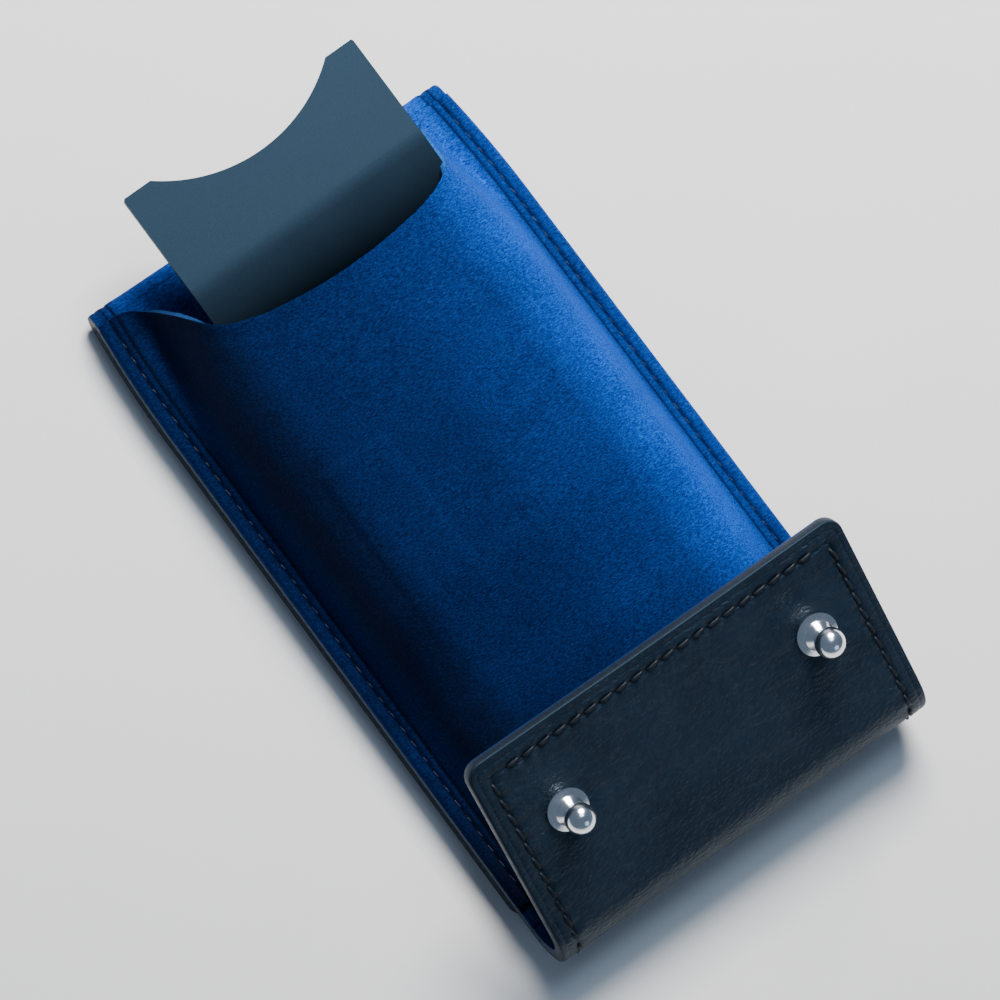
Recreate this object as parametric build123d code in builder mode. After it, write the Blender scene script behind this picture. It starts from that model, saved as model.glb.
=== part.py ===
from build123d import *
import os
from math import cos, radians, sin

# A stud-closed leather pouch for a spring bar tool, lying open on its back.
# One long strip, smooth leather on one side and suede on the other, makes the cover,
# the back and the stud flap. All lengths in mm, +Y towards the mouth, +Z up.

# --- driving dimensions -------------------------------------------------------------
width = 75.0
body_length = 136.6  # outside of the bottom turn to outside of the top fold
mouth_overhang = 10.0  # how far the insert plate stands out beyond the top fold
waist = 1.2  # how much each side draws in at the top fold
waist_length = 22.0

leather = 1.3
suede = 1.3
strip = leather + suede
fold_inner = 0.4  # the smooth side is doubled almost flat on itself
corner_radius = 3.0

turn_radius = 7.8  # outside of the bottom turn
flap_slope = 38.9  # how far the unbuttoned stud flap springs up
flap_length = 35.5

spine_length = 13.9  # part of the cover that stands behind the filled pocket
cover_length = 108.7

stud_spread = 50.6  # between the two studs
stud_to_edge = 16.3  # from the flap's free edge to the studs
slot_to_edge = 7.0  # from the cover's free edge to its slots
slot_width = 6.0
slot_length = 9.0

stitch_pitch = 3.1
stitch_length = 2.3
stitch_width = 0.6
stitch_height = 0.3
stitch_inset = 3.4

pocket_suede = 1.2
pocket_margin = 4.0  # flat sewn border at each side of the pocket
pocket_shoulder = 6.0  # how far the pocket's sides lean in
pocket_mouth_z = 20.6
pocket_crest_z = 19.8  # the top stays nearly level down to here
pocket_middle_z = 16.0
pocket_toe_z = 14.0
pocket_foot = 12.0  # lengths of the pocket's outline, measured from the bottom turn
pocket_toe = 24.0
pocket_middle = 46.0
pocket_crest = 60.0
pocket_top = 125.0
pocket_to_fold = 0.6
mouth_side = 122.6  # mouth at the pocket's two ridges
mouth_middle = 114.6
ridge_round = 3.0

plate_width = 48.0
plate_thickness = 1.0
plate_tip_z = 21.8
plate_outer_length = 20.0
plate_outer_slope = 7.5
plate_inner_length = 13.0
plate_inner_slope = 15.0
plate_bend_radius = 16.0
plate_shift = 1.1  # the plate lies a little to the right of the middle
plate_skew = 1.5  # and a little askew
notch_width = 36.8
notch_depth = 6.5

loop_x = -17.0
loop_width = 13.1
loop_height = 9.0
loop_wall = 1.2
loop_border = 2.6
loop_round = 3.5
loop_low = 54.0
loop_high = 83.5

tool_low = 23.0
tool_high = 84.0
handle_diameter = 6.0
handle_length = 34.0
handle_play = 0.3  # between the handle and the lining under it
groove_count = 7
groove_width = 0.9
groove_depth = 0.4
collar_length = 4.0
collar_front = 1.5  # cylindrical part of each collar
tip_radius = 1.2
tip_root = 2.5  # round shank between a collar and its tip
fork_reach = 1.9  # half the fork's width
fork_gap = 0.5  # half the gap between its prongs
fork_depth = 2.2
blade_thickness = 1.0
pin_radius = 0.4

# --- places worked out from them ----------------------------------------------------
total_length = body_length + mouth_overhang
origin_y = -total_length / 2  # the bottom turn's outside; the rest is measured from it
half = width / 2

fold_outer = fold_inner + strip
fold_y = origin_y + body_length - fold_outer
fold_z = fold_outer
back_z = fold_z + fold_inner
lining_z = back_z + leather
inside_z = back_z + strip

turn_y = origin_y + turn_radius
turn_z = back_z + turn_radius
flap_start = (
    turn_y - turn_radius * sin(radians(flap_slope)),
    turn_z + turn_radius * cos(radians(flap_slope)),
)
flap_plane = Plane(
    origin=(0, flap_start[0], flap_start[1]),
    x_dir=(1, 0, 0),
    z_dir=(0, -sin(radians(flap_slope)), cos(radians(flap_slope))),
)
stud_y = flap_length - stud_to_edge
stud_places = [("left", -stud_spread / 2), ("right", stud_spread / 2)]

spine_y = fold_y - spine_length
cover_end = spine_y - cover_length

made = []


def finish(part, name):
    """Label one sub-part and write its file."""
    part.label = name
    export_step(part, f"parts/{name}.step")
    made.append(name)


def strip_outline(low, high):
    """Outline of the strip between two places along Y, drawn in at the top fold."""
    start = fold_y - waist_length
    foot = min(low, start) - 1
    with BuildLine() as right_half:
        side = Line((half, foot), (half, start))
        curve = TangentArc(side @ 1, (half - waist, fold_y), tangent=(0, 1))
        Line(curve @ 1, (0, fold_y))
        Line((0, fold_y), (0, foot))
        Line((0, foot), side @ 0)
    make_face(right_half.edges())
    mirror(about=Plane.YZ)
    with Locations((0, (low + high) / 2)):
        Rectangle(width + 2, high - low, mode=Mode.INTERSECT)


def ring_outline(centre, inner, outer, start, sweep):
    """Part of a ring, seen along X."""
    with BuildLine() as ring:
        far = CenterArc(centre, outer, start, sweep)
        near = CenterArc(centre, inner, start, sweep)
        Line(far @ 0, near @ 0)
        Line(far @ 1, near @ 1)
    make_face(ring.edges())


def border_places(low, high, reach):
    """Where stitches go along both sides and the far end of a panel."""
    x = half - stitch_inset
    count = int((high - low) / stitch_pitch)
    places = []
    for i in range(count):
        y = low + (i + 0.5) * (high - low) / count
        places.append((-x, y, 90))
        places.append((x, y, 90))
    across = int((2 * x - stitch_pitch) / stitch_pitch)
    for i in range(across):
        px = -x + stitch_pitch / 2 + (i + 0.5) * (2 * x - stitch_pitch) / across
        places.append((px, reach, 0))
    return places


def stitches(places):
    """One short raised stitch at each place, as separate solids."""
    for x, y, turn in places:
        with Locations(Location((x, y, 0), (0, 0, turn))):
            SlotOverall(stitch_length, stitch_width)


os.makedirs("parts", exist_ok=True)

# --- back: smooth leather below, suede above -----------------------------------------
with BuildPart() as back_leather:
    with BuildSketch(Plane.XY.offset(back_z)):
        strip_outline(turn_y, fold_y)
    extrude(amount=leather)
finish(back_leather.part, "back_leather")

with BuildPart() as back_lining:
    with BuildSketch(Plane.XY.offset(lining_z)):
        strip_outline(turn_y, fold_y)
    extrude(amount=suede)
finish(back_lining.part, "back_lining")

# --- top fold: the strip doubled back under itself, suede outside ---------------------
with BuildPart() as fold_leather:
    with BuildSketch(Plane.YZ):
        ring_outline((fold_y, fold_z), fold_inner, fold_inner + leather, 90, -180)
    extrude(amount=half - waist, both=True)
finish(fold_leather.part, "fold_leather")

with BuildPart() as fold_lining:
    with BuildSketch(Plane.YZ):
        ring_outline((fold_y, fold_z), fold_inner + leather, fold_outer, 90, -180)
    extrude(amount=half - waist, both=True)
finish(fold_lining.part, "fold_lining")

# --- spine: the part of the cover that stands up behind the pocket --------------------
with BuildPart() as spine_lining:
    with BuildSketch(Plane.XY):
        strip_outline(spine_y, fold_y)
    extrude(amount=suede)
finish(spine_lining.part, "spine_lining")

with BuildPart() as spine_leather:
    with BuildSketch(Plane.XY.offset(suede)):
        strip_outline(spine_y, fold_y)
    extrude(amount=leather)
finish(spine_leather.part, "spine_leather")


# --- cover: lies under the back, with a slot for each stud ----------------------------
def cover_outline():
    """The cover's outline with its two rounded corners and its two slots."""
    strip_outline(cover_end, spine_y)
    corners = vertices().sort_by(Axis.Y)[0:2]
    fillet(corners, corner_radius)
    with Locations(*[(x, cover_end + slot_to_edge) for name, x in stud_places]):
        SlotOverall(slot_length, slot_width, rotation=90, mode=Mode.SUBTRACT)


with BuildPart() as cover_lining:
    with BuildSketch(Plane.XY):
        cover_outline()
    extrude(amount=suede)
finish(cover_lining.part, "cover_lining")

with BuildPart() as cover_leather:
    with BuildSketch(Plane.XY.offset(suede)):
        cover_outline()
    extrude(amount=leather)
finish(cover_leather.part, "cover_leather")

with BuildPart() as cover_stitching:
    with BuildSketch(Plane.XY.offset(strip)):
        stitches(border_places(cover_end + 6, spine_y - 2, cover_end + stitch_inset))
    extrude(amount=stitch_height)
finish(cover_stitching.part, "cover_stitching")

# --- bottom turn: bends the strip up and back into the stud flap ----------------------
with BuildPart() as turn_leather:
    with BuildSketch(Plane.YZ):
        ring_outline(
            (turn_y, turn_z), turn_radius - leather, turn_radius, -90, flap_slope - 180
        )
    extrude(amount=half, both=True)
finish(turn_leather.part, "turn_leather")

with BuildPart() as turn_lining:
    with BuildSketch(Plane.YZ):
        ring_outline(
            (turn_y, turn_z), turn_radius - strip, turn_radius - leather, -90, flap_slope - 180
        )
    extrude(amount=half, both=True)
finish(turn_lining.part, "turn_lining")

# --- stud flap, built in its own sloping plane ---------------------------------------
screw_shank = 2.4
screw_hole = 2.6


def flap_outline():
    """The flap's outline with rounded free corners and a hole for each stud screw."""
    with Locations((0, flap_length / 2)):
        Rectangle(width, flap_length)
    fillet(vertices().sort_by(Axis.Y)[-2:], corner_radius)
    with Locations(*[(x, stud_y) for name, x in stud_places]):
        Circle(screw_hole / 2, mode=Mode.SUBTRACT)


with BuildPart() as flap_leather:
    with BuildSketch(flap_plane.offset(-leather)):
        flap_outline()
    extrude(amount=leather)
finish(flap_leather.part, "flap_leather")

with BuildPart() as flap_lining:
    with BuildSketch(flap_plane.offset(-strip)):
        flap_outline()
    extrude(amount=suede)
finish(flap_lining.part, "flap_lining")

with BuildPart() as flap_stitching:
    with BuildSketch(flap_plane):
        stitches(border_places(1.5, flap_length - 6, flap_length - stitch_inset))
    extrude(amount=stitch_height)
finish(flap_stitching.part, "flap_stitching")

# --- ball studs, each held by a screw from the suede side -----------------------------
flange_radius = 3.75
flange_height = 1.0
collar_radius = 2.6
neck_radius = 1.7
ball_radius = 2.65
ball_height = 5.0
bore_radius = 1.25
bore_depth = 4.2
screw_head_radius = 3.8
screw_head_height = 0.9

for side, x in stud_places:
    stud_plane = Plane(
        origin=flap_plane.from_local_coords((x, stud_y, 0)),
        x_dir=(1, 0, 0),
        z_dir=flap_plane.z_dir,
    )
    upright = Plane(origin=stud_plane.origin, x_dir=(1, 0, 0), z_dir=-stud_plane.y_dir)
    axis = Axis(stud_plane.origin, stud_plane.z_dir)
    neck_meets_ball = ball_height - (ball_radius**2 - neck_radius**2) ** 0.5
    with BuildPart() as ball_stud:
        with BuildSketch(upright):
            with BuildLine():
                Line((0, bore_depth), (bore_radius, bore_depth))
                Line((bore_radius, bore_depth), (bore_radius, 0))
                Polyline(
                    (bore_radius, 0),
                    (flange_radius, 0),
                    (flange_radius, 0.6 * flange_height),
                    (collar_radius, flange_height),
                    (collar_radius, flange_height + 0.35),
                    (neck_radius, neck_meets_ball - 0.5),
                    (neck_radius, neck_meets_ball),
                )
                ThreePointArc(
                    (neck_radius, neck_meets_ball),
                    (ball_radius, ball_height),
                    (0, ball_height + ball_radius),
                )
                Line((0, ball_height + ball_radius), (0, bore_depth))
            make_face()
        revolve(axis=axis)
    finish(ball_stud.part, f"ball_stud_{side}")

    with BuildPart() as stud_screw:
        with BuildSketch(stud_plane.offset(-strip)):
            Circle(screw_shank / 2)
        extrude(amount=strip + bore_depth - 0.4)
        with BuildSketch(stud_plane.offset(-strip - screw_head_height)):
            Circle(screw_head_radius)
        extrude(amount=screw_head_height)
        fillet(stud_screw.edges().sort_by(Axis(stud_plane.origin, stud_plane.z_dir))[0], 0.35)
        with BuildSketch(stud_plane.offset(-strip - screw_head_height)):
            Rectangle(2 * screw_head_radius, 0.8)
        extrude(amount=0.45, mode=Mode.SUBTRACT)
    finish(stud_screw.part, f"stud_screw_{side}")


# --- pocket: suede moulded up over its contents and sewn down on three sides ----------
pocket_low = origin_y + pocket_foot
pocket_high = fold_y - pocket_to_fold
mouth_side_y = origin_y + mouth_side
mouth_middle_y = origin_y + mouth_middle


def mound(inset, round_radius):
    """The raised shape of the pocket, drawn in all round by an inset."""
    foot = half - pocket_margin - inset
    top = foot - pocket_shoulder
    with BuildPart() as raised:
        with BuildSketch(Plane.YZ):
            with BuildLine():
                Polyline(
                    (pocket_low + 1.0 + inset, inside_z),
                    (origin_y + pocket_toe + inset, pocket_toe_z - inset),
                    (origin_y + pocket_middle, pocket_middle_z - inset),
                    (origin_y + pocket_crest, pocket_crest_z - inset),
                    (origin_y + pocket_top, pocket_mouth_z - inset),
                    (pocket_high + 2.0, pocket_mouth_z - inset),
                    (pocket_high + 2.0, inside_z),
                    close=True,
                )
            make_face()
        extrude(amount=half, both=True)
        with BuildSketch(Plane.XZ):
            with BuildLine():
                Polyline(
                    (-foot, inside_z),
                    (-top, pocket_mouth_z + 1),
                    (top, pocket_mouth_z + 1),
                    (foot, inside_z),
                    close=True,
                )
            make_face()
        extrude(amount=total_length, both=True, mode=Mode.INTERSECT)
        ridges = raised.edges().filter_by(lambda e: e.center().Z > inside_z + 4)
        ridges = ridges.filter_by(lambda e: abs(e.center().X) > 5)
        ridges = ridges.filter_by(lambda e: e.center().Y < pocket_high + 1)
        fillet(ridges.filter_by(lambda e: e.length > 8), round_radius)
    return raised.part


with BuildPart() as pocket_front:
    with BuildSketch(Plane.XY.offset(inside_z)):
        strip_outline(pocket_low, pocket_high)
    extrude(amount=pocket_suede)
    add(mound(0.0, ridge_round))
    add(mound(pocket_suede, ridge_round - pocket_suede), mode=Mode.SUBTRACT)
    with BuildSketch(Plane.XY.offset(inside_z - 1)):
        with BuildLine():
            ridge_x = half - pocket_margin - pocket_shoulder - 1.0
            dip = ThreePointArc(
                (-ridge_x, mouth_side_y), (0, mouth_middle_y), (ridge_x, mouth_side_y)
            )
            Polyline(
                dip @ 1,
                (half - pocket_margin + 1.0, pocket_high - 3.0),
                (half - pocket_margin + 1.0, pocket_high + 5.0),
                (-half + pocket_margin - 1.0, pocket_high + 5.0),
                (-half + pocket_margin - 1.0, pocket_high - 3.0),
                dip @ 0,
            )
        make_face()
    extrude(amount=40, mode=Mode.SUBTRACT)
    with BuildSketch(Plane.XY.offset(inside_z - 1)):
        with Locations((0, pocket_high + 10)):
            Rectangle(width + 4, 20)
    extrude(amount=40, mode=Mode.SUBTRACT)
finish(pocket_front.part, "pocket_front")

with BuildPart() as pocket_stitching:
    with BuildSketch(Plane.XY.offset(inside_z + pocket_suede)):
        border = half - pocket_margin / 2
        rows = int((pocket_high - waist_length - pocket_low) / stitch_pitch)
        for i in range(rows):
            with Locations(
                (-border, pocket_low + 3 + i * stitch_pitch),
                (border, pocket_low + 3 + i * stitch_pitch),
            ):
                SlotOverall(stitch_length, stitch_width, rotation=90)
    extrude(amount=stitch_height)
finish(pocket_stitching.part, "pocket_stitching")

# --- tool loop: a suede tunnel sewn to the lining inside the pocket --------------------
with BuildPart() as tool_loop:
    with BuildSketch(Plane.XZ.offset(-(origin_y + loop_low))):
        with Locations((loop_x, inside_z + loop_height / 2)):
            Rectangle(loop_width, loop_height)
        fillet(vertices().sort_by(Axis.Y)[-2:], loop_round)
        with Locations((loop_x, inside_z + loop_wall / 2)):
            Rectangle(loop_width + 2 * loop_border, loop_wall)
        with Locations((loop_x, inside_z + (loop_height - loop_wall) / 2)):
            Rectangle(loop_width - 2 * loop_wall, loop_height - loop_wall, mode=Mode.SUBTRACT)
    extrude(amount=-(loop_high - loop_low))
finish(tool_loop.part, "tool_loop")

# --- insert plate: slides in and out of the pocket over the tool -----------------------
outer_tilt = radians(plate_outer_slope)
inner_tilt = radians(plate_inner_slope)
plate_tip = (origin_y + total_length, plate_tip_z - plate_thickness / 2)
plate_bend = (
    plate_tip[0] - plate_outer_length * cos(outer_tilt),
    plate_tip[1] - plate_outer_length * sin(outer_tilt),
)
plate_end = (
    plate_bend[0] - plate_inner_length * cos(inner_tilt),
    plate_bend[1] - plate_inner_length * sin(inner_tilt),
)

with BuildPart() as insert_plate:
    with BuildSketch(Plane.YZ.offset(plate_shift)):
        with BuildLine():
            FilletPolyline(plate_tip, plate_bend, plate_end, radius=plate_bend_radius)
        trace(line_width=plate_thickness)
    extrude(amount=plate_width / 2, both=True)
    with BuildSketch(Plane.XY):
        with Locations((plate_shift, (plate_end[0] + plate_tip[0]) / 2)):
            Rectangle(plate_width, plate_tip[0] - plate_end[0])
        fillet(vertices().sort_by(Axis.Y)[0:2], 4.0)
        with BuildLine():
            left = plate_shift - notch_width / 2
            right = plate_shift + notch_width / 2
            hollow = ThreePointArc(
                (left, plate_tip[0]),
                (plate_shift, plate_tip[0] - notch_depth),
                (right, plate_tip[0]),
            )
            Polyline(
                hollow @ 1, (right, plate_tip[0] + 1), (left, plate_tip[0] + 1), hollow @ 0
            )
        make_face(mode=Mode.SUBTRACT)
        fillet(vertices().sort_by(Axis.Y)[-4:], 0.6)
    extrude(amount=40, mode=Mode.INTERSECT)
right_tip = Axis((plate_shift + plate_width / 2, plate_tip[0], 0), (0, 0, 1))
finish(insert_plate.part.rotate(right_tip, plate_skew), "insert_plate")

# --- spring bar tool: handle, two collars, fork tip and pin tip ------------------------
tool_z = inside_z + handle_play + handle_diameter / 2
handle_start = origin_y + tool_low + 11.0
handle_end = handle_start + handle_length
tool_axis = Axis((loop_x, 0, tool_z), (0, 1, 0))
tool_plane = Plane(origin=(loop_x, 0, tool_z), x_dir=(0, 1, 0), z_dir=(0, 0, 1))

with BuildPart() as tool_handle:
    with BuildSketch(Plane.XZ.offset(-handle_start)):
        with Locations((loop_x, tool_z)):
            Circle(handle_diameter / 2)
    extrude(amount=-handle_length)
    with BuildSketch(tool_plane):
        for i in range(groove_count):
            spot = handle_start + 6 + i * (handle_length - 12) / (groove_count - 1)
            with Locations((spot, -handle_diameter / 2)):
                Rectangle(groove_width, 2 * groove_depth)
    revolve(axis=tool_axis, mode=Mode.SUBTRACT)
finish(tool_handle.part, "tool_handle")

for end_name, root_y, way in [("fork", handle_end, 1), ("pin", handle_start, -1)]:
    with BuildPart() as collar:
        with BuildSketch(tool_plane):
            with BuildLine():
                Polyline(
                    (root_y, -tip_radius - 0.05),
                    (root_y, -handle_diameter / 2 + 0.2),
                    (root_y + way * collar_front, -handle_diameter / 2 + 0.2),
                    (root_y + way * collar_length, -tip_radius - 0.8),
                    (root_y + way * collar_length, -tip_radius - 0.05),
                    close=True,
                )
            make_face()
        revolve(axis=tool_axis)
    finish(collar.part, f"{end_name}_collar")

with BuildPart() as fork_tip:
    with BuildSketch(Plane.XZ.offset(-handle_end)):
        with Locations((loop_x, tool_z)):
            Circle(tip_radius)
    extrude(amount=-(collar_length + tip_root))
    with BuildSketch(tool_plane.offset(-blade_thickness / 2)):
        blade_start = handle_end + collar_length + tip_root
        blade_end = origin_y + tool_high
        with BuildLine():
            Polyline(
                (blade_start, -tip_radius),
                (blade_end - 3.0, -fork_reach),
                (blade_end, -fork_reach),
                (blade_end, -fork_gap),
                (blade_end - fork_depth, -fork_gap),
                (blade_end - fork_depth, fork_gap),
                (blade_end, fork_gap),
                (blade_end, fork_reach),
                (blade_end - 3.0, fork_reach),
                (blade_start, tip_radius),
                close=True,
            )
        make_face()
    extrude(amount=blade_thickness)
finish(fork_tip.part, "fork_tip")

with BuildPart() as pin_tip:
    with BuildSketch(tool_plane):
        with BuildLine():
            pin_end = origin_y + tool_low
            Polyline(
                (handle_start, 0),
                (handle_start, -tip_radius),
                (handle_start - collar_length - 1.5, -tip_radius),
                (handle_start - collar_length - tip_root, -pin_radius - 0.1),
                (pin_end, -pin_radius),
                (pin_end, 0),
                close=True,
            )
        make_face()
    revolve(axis=tool_axis)
finish(pin_tip.part, "pin_tip")

print(len(made), "sub-parts:", ", ".join(made))
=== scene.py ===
import math
import bpy
import numpy as np
from mathutils import Matrix, Vector


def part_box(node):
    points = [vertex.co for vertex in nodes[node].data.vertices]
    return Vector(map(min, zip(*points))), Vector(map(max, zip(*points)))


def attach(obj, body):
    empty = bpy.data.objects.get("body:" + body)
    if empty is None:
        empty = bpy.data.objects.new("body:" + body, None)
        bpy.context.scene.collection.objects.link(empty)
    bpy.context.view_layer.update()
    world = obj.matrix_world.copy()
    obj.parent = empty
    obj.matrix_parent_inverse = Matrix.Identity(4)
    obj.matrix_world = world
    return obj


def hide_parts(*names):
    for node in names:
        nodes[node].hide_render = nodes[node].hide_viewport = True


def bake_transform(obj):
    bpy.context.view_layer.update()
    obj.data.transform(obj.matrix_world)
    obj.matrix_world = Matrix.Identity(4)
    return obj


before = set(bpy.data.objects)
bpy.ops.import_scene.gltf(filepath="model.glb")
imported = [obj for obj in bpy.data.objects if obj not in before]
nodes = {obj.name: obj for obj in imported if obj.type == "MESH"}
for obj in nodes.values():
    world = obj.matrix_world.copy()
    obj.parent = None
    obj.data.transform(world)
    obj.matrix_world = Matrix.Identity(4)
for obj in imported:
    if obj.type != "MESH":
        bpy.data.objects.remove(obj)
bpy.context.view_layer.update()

mm = 0.001
bpy.ops.object.select_all(action="DESELECT")

# places that everything shares, read from the frame
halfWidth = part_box("cover_lining")[1].x
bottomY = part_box("turn_leather")[0].y  # outside of the bottom turn
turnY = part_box("back_leather")[0].y
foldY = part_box("fold_lining")[0].y
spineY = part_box("spine_lining")[0].y
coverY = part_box("cover_lining")[0].y
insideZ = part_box("back_lining")[1].z
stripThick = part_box("cover_leather")[1].z
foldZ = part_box("fold_lining")[1].z / 2


def smoothStep(t):
    t = np.clip(t, 0, 1)
    return t * t * (3 - 2 * t)


def dent(distance, width):
    # A round-bottomed dent or ridge, 1 in its middle.
    return np.exp(-((distance / width) ** 2))


def waves(x, y, seed, size):
    # Slow, uneven waves over a surface, from -1 to 1, the same on every run.
    pick = np.random.default_rng(seed)
    total = np.zeros_like(x)
    count = 7
    for step in range(count):
        turn = pick.uniform(0, math.pi)
        length = size * pick.uniform(0.6, 1.6)
        phase = pick.uniform(0, 2 * math.pi)
        total = total + np.sin(2 * math.pi * (x * math.cos(turn) + y * math.sin(turn)) / length + phase)
    return total / count


def getPoints(piece):
    points = np.zeros(len(piece.data.vertices) * 3)
    piece.data.vertices.foreach_get("co", points)
    return points.reshape(-1, 3)


def setPoints(piece, points):
    piece.data.vertices.foreach_set("co", np.asarray(points, float).ravel())
    piece.data.update()


def selectOnly(piece):
    bpy.ops.object.select_all(action="DESELECT")
    piece.select_set(True)
    bpy.context.view_layer.objects.active = piece


def applyAll(piece):
    selectOnly(piece)
    for modifier in list(piece.modifiers):
        bpy.ops.object.modifier_apply(modifier=modifier.name)


def layGrid(name, columns, rows):
    # A flat sheet with the given numbers of columns and rows of points.
    bpy.ops.mesh.primitive_grid_add(x_subdivisions=columns - 1, y_subdivisions=rows - 1, size=2)
    piece = bpy.context.object
    piece.name = name
    return piece


def gridPlaces(piece, columns, rows):
    # The column and the row that each point of a sheet is in.
    points = getPoints(piece)
    column = np.rint((points[:, 0] + 1) / 2 * (columns - 1)).astype(int)
    row = np.rint((points[:, 1] + 1) / 2 * (rows - 1)).astype(int)
    return column, row


def giveMap(piece, u, v):
    # Lays the piece's pattern out flat: u and v in metres for each point.
    layer = piece.data.uv_layers.new(name="flat")
    corners = np.zeros(len(piece.data.loops), int)
    piece.data.loops.foreach_get("vertex_index", corners)
    layer.data.foreach_set("uv", np.stack([u[corners], v[corners]], 1).ravel())


def giveValue(piece, name, values):
    attribute = piece.data.attributes.new(name, "FLOAT", "POINT")
    attribute.data.foreach_set("value", np.asarray(values, np.float32))


def startMaterial(name):
    made = bpy.data.materials.new(name)
    made.use_nodes = True
    tree = made.node_tree
    return made, tree, tree.nodes["Principled BSDF"]


def addNode(tree, kind, **settings):
    node = tree.nodes.new(kind)
    for key, value in settings.items():
        if hasattr(node, key):
            setattr(node, key, value)
        else:
            node.inputs[key].default_value = value
    return node


def place(tree, scale=(1, 1, 1), turn=0.0, flat=False):
    # Where a pattern is read: the piece's own place, or its flat layout.
    source = addNode(tree, "ShaderNodeUVMap", uv_map="flat") if flat else addNode(tree, "ShaderNodeTexCoord")
    mapping = addNode(tree, "ShaderNodeMapping")
    mapping.inputs["Scale"].default_value = scale
    mapping.inputs["Rotation"].default_value = (0, 0, turn)
    tree.links.new(source.outputs["UV" if flat else "Object"], mapping.inputs["Vector"])
    return mapping.outputs[0]


def noise(tree, where, size, detail=3.0, rough=0.55, warp=0.0):
    node = addNode(tree, "ShaderNodeTexNoise")
    node.inputs["Scale"].default_value = 1 / size
    node.inputs["Detail"].default_value = detail
    node.inputs["Roughness"].default_value = rough
    node.inputs["Distortion"].default_value = warp
    tree.links.new(where, node.inputs["Vector"])
    return node.outputs["Fac"]


def cells(tree, where, size):
    node = addNode(tree, "ShaderNodeTexVoronoi")
    node.inputs["Scale"].default_value = 1 / size
    tree.links.new(where, node.inputs["Vector"])
    return node.outputs["Distance"]


def ramp(tree, value, *stops):
    # Turns a value into a colour or a grey through (position, colour or grey) stops.
    node = addNode(tree, "ShaderNodeValToRGB")
    bar = node.color_ramp.elements
    while len(bar) < len(stops):
        bar.new(0.5)
    for element, (position, tone) in zip(bar, stops):
        element.position = position
        element.color = (*tone, 1) if hasattr(tone, "__len__") else (tone, tone, tone, 1)
    tree.links.new(value, node.inputs["Fac"])
    return node.outputs["Color"]


def mixColour(tree, amount, first, second, kind="MIX"):
    node = addNode(tree, "ShaderNodeMix", data_type="RGBA", blend_type=kind)
    for value, socket in ((amount, node.inputs[0]), (first, node.inputs[6]), (second, node.inputs[7])):
        if isinstance(value, bpy.types.NodeSocket):
            tree.links.new(value, socket)
        else:
            socket.default_value = value if socket.type == "VALUE" else (*value, 1)
    return node.outputs[2]


def sums(tree, kind, first, second):
    node = addNode(tree, "ShaderNodeMath", operation=kind)
    for value, socket in ((first, node.inputs[0]), (second, node.inputs[1])):
        if isinstance(value, bpy.types.NodeSocket):
            tree.links.new(value, socket)
        else:
            socket.default_value = value
    return node.outputs[0]


def bumps(tree, shader, *layers):
    # Stacks bump layers of (height, depth in metres, strength).
    last = None
    for height, depth, strength in layers:
        node = addNode(tree, "ShaderNodeBump")
        node.inputs["Strength"].default_value = strength
        node.inputs["Distance"].default_value = depth
        tree.links.new(height, node.inputs["Height"])
        if last is not None:
            tree.links.new(last, node.inputs["Normal"])
        last = node.outputs["Normal"]
    tree.links.new(last, shader.inputs["Normal"])


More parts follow.
